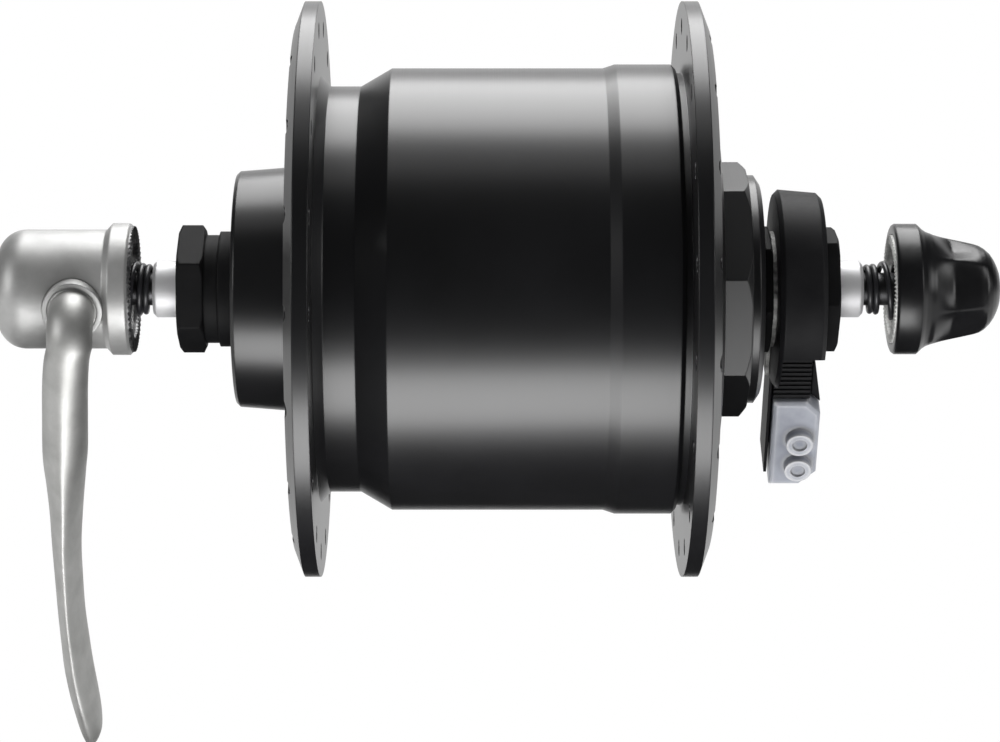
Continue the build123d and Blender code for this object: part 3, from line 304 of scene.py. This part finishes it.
def mesh_piece(name, verts, faces, body, slot, smooth_angle):
    """An object of the given mesh, smooth up to an angle in degrees, that rides on a body."""
    mesh = bpy.data.meshes.new(name)
    mesh.from_pydata([tuple(v) for v in verts], [], faces)
    mesh.validate()
    mesh.update()
    piece = bpy.data.objects.new(name, mesh)
    scene.collection.objects.link(piece)
    mesh.materials.append(materials[slot])
    for face in mesh.polygons:
        face.use_smooth = True
    mesh.set_sharp_from_angle(angle=math.radians(smooth_angle))
    if body:
        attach(piece, body)
    return piece


def round_axle(x, radius, turn):
    """A point on a circle round the axle's line."""
    return Vector((x, radius * math.cos(turn), radius * math.sin(turn))) * MM


def skin(rings, sides):
    """The faces over a row of rings of points, with a flat face at each end."""
    faces = []
    for k in range(rings - 1):
        for j in range(sides):
            a, b = k * sides + j, k * sides + (j + 1) % sides
            faces.append((a, b, b + sides, a + sides))
    faces.append(tuple(range(sides - 1, -1, -1)))
    faces.append(tuple(range((rings - 1) * sides, rings * sides)))
    return faces


def along(places, x):
    """The value at x on straight lines through the given places."""
    for (x0, v0), (x1, v1) in zip(places, places[1:]):
        if x <= x1:
            return v0 + (v1 - v0) * (x - x0) / (x1 - x0)
    return places[-1][1]


# Springs: conical coils whose ends stay on the axle and in the pocket at every pose

spring_wire_r = 0.45
spring_seat_gap = 0.08
spring_wire_sides = 14
spring_steps_per_turn = 44
housing_pocket_x = 60.8
axle_end_x = span_x("axle")[1]
lock_ring_front_x, lock_ring_back_x = span_x("nut_lock_ring")
spring_inset = spring_wire_r + spring_seat_gap


def conical_coil(start, knee, end, close_turns, open_turns):
    """Close turns up to the knee, then wider ones that open out into the pocket.

    The places are pairs of X and radius.
    """
    turns = close_turns + open_turns
    knee_share = close_turns / turns
    steps = int(turns * spring_steps_per_turn)
    points = []
    for k in range(steps + 1):
        share = k / steps
        if share < knee_share:
            (x0, r0), (x1, r1), part = start, knee, share / knee_share
        else:
            (x0, r0), (x1, r1), part = knee, end, (share - knee_share) / (1 - knee_share)
        points.append(round_axle(x0 + (x1 - x0) * part, r0 + (r1 - r0) * part, TAU * turns * share))
    return points


def spring(name, points):
    """A round black wire along the points, with flat ends and no body of its own."""
    verts = []
    last = len(points) - 1
    across = Vector((1, 0, 0))
    for k, point in enumerate(points):
        ahead = points[min(k + 1, last)] - points[max(k - 1, 0)]
        ahead.normalize()
        across = across - ahead * across.dot(ahead)
        across.normalize()
        up = ahead.cross(across)
        for j in range(spring_wire_sides):
            turn = TAU * j / spring_wire_sides
            spoke = across * math.cos(turn) + up * math.sin(turn)
            verts.append(point + spoke * spring_wire_r * MM)
    faces = skin(len(points), spring_wire_sides)
    return mesh_piece(name, verts, faces, None, "spring_black", smooth_angle=60.0)


left_coil = spring("left_spring_coils", conical_coil(
    start=(-axle_end_x - spring_inset, 3.35), knee=(-56.6, 3.7),
    end=(-housing_pocket_x + spring_inset, 5.7), close_turns=2.2, open_turns=1.6))
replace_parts(left_coil, "left_spring")
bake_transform(left_coil)

right_coil = spring("right_spring_coils", conical_coil(
    start=(axle_end_x + spring_inset, 3.3), knee=(56.3, 3.5),
    end=(lock_ring_front_x - spring_inset, 5.7), close_turns=1.9, open_turns=2.3))
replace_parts(right_coil, "right_spring")
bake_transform(right_coil)


# Fine radial ridges that grip the fork: on the tooth ring, the insert and the lock nuts

def serrated_ring(name, x_back, x_tip, inner_r, outer_r, count, depth, bevel, body, slot):
    """A flat ring whose face carries fine radial ridges with bevelled rims."""
    verts, faces = [], []
    out = 1.0 if x_tip > x_back else -1.0
    columns = 2 * count
    for k in range(columns):
        x_front = x_tip if k % 2 else x_tip - out * depth
        x_rim = x_tip - out * (depth + bevel)
        profile = ((x_back, outer_r), (x_rim, outer_r), (x_front, outer_r - bevel),
                   (x_front, inner_r + bevel), (x_rim, inner_r), (x_back, inner_r))
        verts += [round_axle(x, radius, TAU * k / columns) for x, radius in profile]
    size = len(profile)
    for k in range(columns):
        here, there = k * size, (k + 1) % columns * size
        for a in range(size):
            b = (a + 1) % size
            face = (here + a, there + a, there + b, here + b)
            faces.append(face if out < 0 else face[::-1])
    return mesh_piece(name, verts, faces, body, slot, smooth_angle=20.0)


tooth_ring_fine = serrated_ring(
    "tooth_ring_fine", x_back=-57.9, x_tip=-56.85, inner_r=7.45, outer_r=9.7, count=64,
    depth=0.3, bevel=0.12, body="qr_body", slot="tooth_steel")
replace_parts(tooth_ring_fine, "tooth_ring")

insert_tip_x = span_x("nut_insert")[0]
nut_insert_fine = serrated_ring(
    "nut_insert_fine", x_back=61.3, x_tip=insert_tip_x, inner_r=6.85, outer_r=8.28, count=72,
    depth=0.28, bevel=0.1, body="nut_body", slot="insert_pale")
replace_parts(nut_insert_fine, "nut_insert")

lock_nut_face_x = span_x("right_lock_nut")[1]
lock_ridge_root = 0.2
lock_ridge_rise = 0.14
for side_name, side_sign in (("left", -1), ("right", 1)):
    serrated_ring(
        f"{side_name}_lock_nut_ridges", x_back=side_sign * (lock_nut_face_x - lock_ridge_root),
        x_tip=side_sign * (lock_nut_face_x + lock_ridge_rise), inner_r=4.75, outer_r=7.3,
        count=40, depth=0.24, bevel=0.06, body="axle_group", slot="nut_black")


# The connector's cover, with the rounded rims of a moulded piece

cover_rounding = 0.8 * MM
cover_rounding_steps = 3
cover_long_edge = 1.5 * MM
cover_sharp_angle = 40.0
cover_flat_angle = 1.5
cover_weld = 0.002 * MM


def rounded_cover():
    """A copy of the CAD cover whose long sharp edges are rounded off."""
    source = nodes["connector_cover"]
    shape = bmesh.new()
    shape.from_mesh(source.data)
    shape.transform(source.matrix_world)
    bmesh.ops.remove_doubles(shape, verts=shape.verts, dist=cover_weld)
    bmesh.ops.dissolve_limit(shape, angle_limit=math.radians(cover_flat_angle),
                             verts=shape.verts, edges=shape.edges)
    sharp = [edge for edge in shape.edges
             if len(edge.link_faces) == 2 and edge.calc_length() > cover_long_edge
             and edge.calc_face_angle() > math.radians(cover_sharp_angle)]
    bmesh.ops.bevel(shape, geom=sharp, offset=cover_rounding, segments=cover_rounding_steps,
                    profile=0.5, affect="EDGES", clamp_overlap=True)
    shape.verts.index_update()
    verts = [vert.co.copy() for vert in shape.verts]
    faces = [tuple(vert.index for vert in face.verts) for face in shape.faces]
    shape.free()
    return mesh_piece("connector_cover_rounded", verts, faces, "cover_body", "cover_grey",
                      smooth_angle=30.0)


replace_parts(rounded_cover(), "connector_cover")


# The quick-release nut: a turned cone with six scooped finger flutes and a rounded end

nut_face_x, nut_end_x = span_x("qr_nut")
nut_cone_x = 62.2
nut_r = 9.97
rod_bore_r, lock_ring_r = 2.55, 4.55
nut_rows = 64
flutes = 6
flute_columns = 28
flute_lead = math.radians(4)
flute_round_power = 1.9
ridge_ease = 0.1
ridge_ease_power = 8

# Pairs of X and radius: the bore and the collar, the cone's ridges, the bottoms of the flutes
bore_and_collar = (
    (73.6, 0.0), (73.6, rod_bore_r), (lock_ring_back_x, rod_bore_r),
    (lock_ring_back_x, lock_ring_r), (lock_ring_front_x, lock_ring_r),
    (lock_ring_front_x, 6.8), (61.45, 6.8), (61.45, 8.33), (58.72, 8.33), (nut_face_x, 8.55),
    (nut_face_x, 9.5), (58.62, 9.75), (58.95, nut_r))
ridge_line = (
    (nut_cone_x, nut_r), (62.6, 9.62), (63.0, 9.2), (63.7, 8.74), (64.5, 8.45), (66.0, 8.1),
    (67.4, 7.86), (69.2, 7.45), (71.0, 7.02), (71.9, 6.72), (72.7, 6.2), (73.4, 5.45),
    (74.0, 4.6), (74.5, 3.6), (74.85, 2.6), (nut_end_x, 1.6))
flute_line = (
    (nut_cone_x, nut_r), (62.5, 9.86), (63.0, 9.5), (67.2, 6.5), (67.5, 6.34), (69.5, 6.3),
    (71.5, 6.2), (72.6, 6.0), (73.2, 5.6), (nut_end_x, 5.0))


def scooped_radius(x, turn):
    """The cone's radius at x, from the bottom of a flute up to the ridge beside it."""
    ridge = along(ridge_line, x)
    bottom = min(ridge, along(flute_line, x))
    across = abs((turn - flute_lead) * flutes / TAU + 0.5) % 1.0
    across = abs(across - 0.5) * 2
    rise = across ** flute_round_power * (1 - ridge_ease * across ** ridge_ease_power)
    return bottom + (ridge - bottom) * rise


def scooped_nut():
    verts, faces = [], []
    stations = [nut_cone_x + (nut_end_x - nut_cone_x) * k / nut_rows for k in range(nut_rows + 1)]
    columns = flutes * flute_columns
    for k in range(columns):
        turn = TAU * k / columns
        rows = [*bore_and_collar, *((x, scooped_radius(x, turn)) for x in stations),
                (nut_end_x, 0.0)]
        verts += [round_axle(x, radius, math.pi - turn) for x, radius in rows]
    size = len(rows)
    for k in range(columns):
        here, there = k * size, (k + 1) % columns * size
        for j in range(size - 1):
            faces.append((here + j, here + j + 1, there + j + 1, there + j))
    return mesh_piece("qr_nut_scooped", verts, faces, "nut_body", "qr_nut_black",
                      smooth_angle=38.0)


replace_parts(scooped_nut(), "qr_nut")


# The lever: cam and journals inside the housing, an elbow, and a blade with a soft front crease

lever_lean = math.radians(20.5)
pivot = Vector((-65.5, 0, 0))
out_dir = Vector((0, -math.cos(lever_lean), -math.sin(lever_lean)))
down_dir = Vector((0, math.sin(lever_lean), -math.cos(lever_lean)))
side_dir = Vector((1, 0, 0))
journal_end, journal_r, journal_chamfer = 6.7, 2.2, 0.3
cam_half, cam_r, cam_throw = 2.6, 2.6, 1.5
shaft_end, shaft_r, stem_r = 9.9, 3.7, 3.45
elbow_start, elbow_r, elbow_steps = 10.4, 3.9, 12
blade_l, blade_drop, blade_half_d = 66.7, 5.0, 6.5
lever_sides = 48
steps_per_row = 5

# Where the photograph's camera stands, and its pixel scale and the pixel it looks straight at
camera_x, camera_y = -3.8, -509.3
focal_px = 3333.8
straight_px_x, straight_px_y = 483, 289

# The blade in the photograph: pixel row, left edge, right edge; and how round its section is
blade_edges = (
    (385, 42.0, 88.0, 1.8), (420, 42.0, 88.0, 1.65), (447, 42.2, 88.0, 1.6),
    (465, 43.5, 86.5, 1.55), (483, 46.2, 85.0, 1.5), (510, 49.5, 83.0, 1.5),
    (542, 52.0, 81.5, 1.5), (575, 55.0, 82.8, 1.5), (610, 58.2, 85.3, 1.5),
    (640, 61.5, 89.5, 1.5), (664, 64.5, 93.2, 1.55), (690, 70.0, 98.2, 1.6),
    (706, 74.5, 101.0, 1.65), (718, 78.0, 102.2, 1.7), (727, 81.0, 102.0, 1.8),
    (734, 83.8, 100.0, 1.9), (739, 86.2, 97.2, 2.0))

# Along the blade's length, as shares: how far it drops towards the wheel, and how deep it is
drop_shares = ((0.05, 0.02), (0.12, 0.07), (0.267, 0.26), (0.36, 0.46), (0.47, 0.66),
               (0.645, 0.86), (0.76, 0.96), (0.9, 1.0))
depth_shares = ((0.05, 0.54), (0.12, 0.57), (0.267, 0.67), (0.36, 0.76), (0.47, 0.87),
                (0.645, 0.97), (0.685, 0.98), (0.765, 0.985), (0.83, 0.96), (0.9, 0.905),
                (0.94, 0.811), (0.97, 0.708), (0.994, 0.585), (1.012, 0.446), (1.026, 0.292))

# Rows of the blade: distance down, centre in X, half width, drop, half depth, roundness
stem_rows = ((0.0, pivot.x, stem_r, 0.0, stem_r, 2.0), (2.2, -66.05, 3.42, 0.12, 3.5, 1.95))
tip_row = (68.8, -65.56, 0.4, blade_drop, 0.9, 2.0)

# The search for a pixel row's place: up to which share of the length, and how many halvings
longest_share = 1.2
halvings = 50


def blade_place(down, drop):
    return pivot + out_dir * (elbow_start + elbow_r - drop) + down_dir * (elbow_r + down)


def share_at(pixel_row):
    """The share of the blade's length whose middle the photograph shows in a pixel row."""
    low, high = 0.0, longest_share
    for _ in range(halvings):
        middle = (low + high) / 2
        place = blade_place(blade_l * middle, blade_drop * along(drop_shares, middle))
        if straight_px_y - place.z * focal_px / (place.y - camera_y) < pixel_row:
            low = middle
        else:
            high = middle
    return low


def blade_row(pixel_row, left_px, right_px, roundness):
    share = share_at(pixel_row)
    down, drop = blade_l * share, blade_drop * along(drop_shares, share)
    scale = (blade_place(down, drop).y - camera_y) / focal_px
    centre_x = camera_x + ((left_px + right_px) / 2 - straight_px_x) * scale
    half_w = (right_px - left_px) / 2 * scale
    return down, centre_x, half_w, drop, blade_half_d * along(depth_shares, share), roundness


def smooth_row(rows, at):
    """A row on a smooth curve through the rows, at a place counted in rows."""
    k = min(int(at), len(rows) - 2)
    part = at - k
    around = (rows[max(k - 1, 0)], rows[k], rows[k + 1], rows[min(k + 2, len(rows) - 1)])
    values = []
    for before, here, there, after in zip(*around):
        bend = 2 * before - 5 * here + 4 * there - after
        twist = 3 * (here - there) + after - before
        values.append(here + part * (there - before + part * (bend + part * twist)) / 2)
    return values


def lever_rings():
    """Each ring's centre, its axis across X, half width, half depth and roundness."""
    shaft = (
        (-journal_end, 0, journal_r - journal_chamfer), (journal_chamfer - journal_end, 0, journal_r),
        (-cam_half, 0, journal_r), (-cam_half, -cam_throw, cam_r), (cam_half, -cam_throw, cam_r),
        (cam_half, 0, shaft_r), (shaft_end, 0, shaft_r), (shaft_end, 0, stem_r),
        (elbow_start, 0, stem_r))
    rings = [(pivot + out_dir * out + side_dir * off, down_dir, radius, radius, 2.0)
             for out, off, radius in shaft]
    for k in range(1, elbow_steps):
        bend = math.pi / 2 * k / elbow_steps
        centre = (pivot + out_dir * (elbow_start + elbow_r * math.sin(bend))
                  + down_dir * elbow_r * (1 - math.cos(bend)))
        axis = down_dir * math.cos(bend) - out_dir * math.sin(bend)
        rings.append((centre, axis, stem_r, stem_r, 2.0))
    rows = [*stem_rows, *(blade_row(*edges) for edges in blade_edges), tip_row]
    for k in range(steps_per_row * (len(rows) - 1) + 1):
        down, x, half_w, drop, half_d, roundness = smooth_row(rows, k / steps_per_row)
        centre = blade_place(down, drop)
        centre.x = x
        rings.append((centre, -out_dir, half_w, half_d, roundness))
    return rings


def lever_blade():
    rings = lever_rings()
    verts = []
    for centre, axis, half_w, half_d, roundness in rings:
        for j in range(lever_sides):
            turn = TAU * j / lever_sides
            across, deep = math.cos(turn), math.sin(turn)
            across = math.copysign(abs(across) ** (2 / roundness), across) * half_w
            deep = math.copysign(abs(deep) ** (2 / roundness), deep) * half_d
            verts.append((centre + side_dir * across + axis * deep) * MM)
    return mesh_piece("lever_blade", verts, skin(len(rings), lever_sides), "lever_body",
                      "lever_silver", smooth_angle=42.0)


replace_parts(lever_blade(), "lever")


# The studio's floor and dark card

floor_z = -0.16
floor_half_w, floor_front_y, floor_back_y = 4.0, -0.27, 7.0
card_rise = 0.004
card_half_w, card_front_y, card_back_y = 0.2, -0.035, 0.34


def flat_sheet(name, half_w, front_y, back_y, z, material):
    corners = [(-half_w, front_y, z), (half_w, front_y, z), (half_w, back_y, z),
               (-half_w, back_y, z)]
    mesh = bpy.data.meshes.new(name)
    mesh.from_pydata(corners, [], [(0, 1, 2, 3)])
    mesh.materials.append(material)
    flat = bpy.data.objects.new(name, mesh)
    scene.collection.objects.link(flat)
    return flat


def floor_paper():
    """Pale paper that fades into the white wall with its distance from the object."""
    material, graph, shader = new_material("floor_paper")
    fibres = graph.noise(graph.world_place(), scale=40.0)
    graph.feed(shader.inputs["Base Color"],
               graph.mottled(fibres, dark=(0.8, 0.8, 0.8), light=(0.83, 0.83, 0.83)))
    shader.inputs["Roughness"].default_value = 0.9
    glow = graph.node("ShaderNodeEmission")
    glow.inputs["Color"].default_value = WHITE
    reach = graph.node("ShaderNodeVectorMath", operation="LENGTH")
    graph.feed(reach.inputs[0], graph.world_place())
    fade = graph.spread(reach.outputs["Value"], low=0.35, high=1.0, start=0.25, end=0.6,
                        smooth=True)
    blend = graph.node("ShaderNodeMixShader")
    graph.feed(blend.inputs[0], graph.math("MULTIPLY", graph.shown_rays(), fade))
    graph.feed(blend.inputs[1], shader.outputs[0])
    graph.feed(blend.inputs[2], glow.outputs[0])
    graph.feed(graph.tree.nodes["Material Output"].inputs["Surface"], blend.outputs[0])
    return material


def card_felt():
    material, graph, shader = new_material("card_felt")
    fibres = graph.noise(graph.world_place(), scale=300.0)
    graph.feed(shader.inputs["Base Color"],
               graph.mottled(fibres, dark=(0.012, 0.012, 0.012), light=(0.02, 0.02, 0.02)))
    shader.inputs["Roughness"].default_value = 0.95
    shader.inputs["Specular IOR Level"].default_value = 0.1
    return material


flat_sheet("floor", floor_half_w, floor_front_y, floor_back_y, floor_z, floor_paper())

# Only reflections see the card: it darkens the lower edges of the black shell
card = flat_sheet("dark_card", card_half_w, card_front_y, card_back_y, floor_z + card_rise,
                  card_felt())
card.visible_camera = False
card.visible_diffuse = False
card.visible_shadow = False


# The world: a white wall behind the object and a dim room in front of it

wall_start, wall_end = 0.55, 0.97
room_strength = 0.02
diffuse_strength = 0.3


def studio_world():
    world = bpy.data.worlds.new("studio")
    world.use_nodes = True
    graph = Graph(world.node_tree)
    sky = graph.tree.nodes["Background"]
    sky.inputs["Color"].default_value = WHITE
    direction = graph.node("ShaderNodeSeparateXYZ")
    graph.feed(direction.inputs[0], graph.node("ShaderNodeTexCoord").outputs["Generated"])
    wall = graph.spread(direction.outputs["Y"], low=room_strength, high=1.0, start=wall_start,
                        end=wall_end, smooth=True)
    paths = graph.node("ShaderNodeLightPath")
    backdrop = graph.math("MAXIMUM", graph.math("MULTIPLY", wall, graph.shown_rays()),
                          paths.outputs["Is Camera Ray"])
    fill = graph.math("MULTIPLY", paths.outputs["Is Diffuse Ray"], diffuse_strength)
    graph.feed(sky.inputs["Strength"], graph.math("MAXIMUM", backdrop, fill))
    return world


scene.world = studio_world()


# Lamps

def lamp(name, place, aim, size, watts):
    light = bpy.data.lights.new(name, "AREA")
    light.shape = "RECTANGLE"
    light.size, light.size_y = size
    light.energy = watts
    holder = bpy.data.objects.new(name, light)
    scene.collection.objects.link(holder)
    holder.location = place
    holder.rotation_euler = (Vector(aim) - Vector(place)).to_track_quat("-Z", "Y").to_euler()


lamp("top_softbox", place=(0.03, 0.2, 0.57), aim=(0, 0.01, 0), size=(0.42, 0.54), watts=4.5)
lamp("high_fill", place=(0.0, -0.05, 0.6), aim=(0, 0, 0), size=(0.42, 0.6), watts=0.6)
lamp("low_softbox", place=(-0.017, -0.102, -0.136), aim=(-0.007, -0.02, 0), size=(0.146, 0.09),
     watts=0.278)
lamp("left_side", place=(-0.95, -0.55, 0.25), aim=(0, 0, 0), size=(0.5, 0.5), watts=4.0)
lamp("right_side", place=(0.95, -0.55, 0.25), aim=(0, 0, 0), size=(0.5, 0.5), watts=3.0)


# The camera stands where the photograph's did, level with the axle

camera_data = bpy.data.cameras.new("camera")
camera_data.lens = 120.0
camera_data.sensor_width = 36.0
camera_data.shift_x = 0.017
camera_data.shift_y = -0.082
camera_data.clip_start = 0.01
camera = bpy.data.objects.new("camera", camera_data)
scene.collection.objects.link(camera)
camera.location = (camera_x * MM, camera_y * MM, 0.0)
camera.rotation_euler = (math.radians(90), 0, 0)
scene.camera = camera

scene.view_settings.view_transform = "Standard"
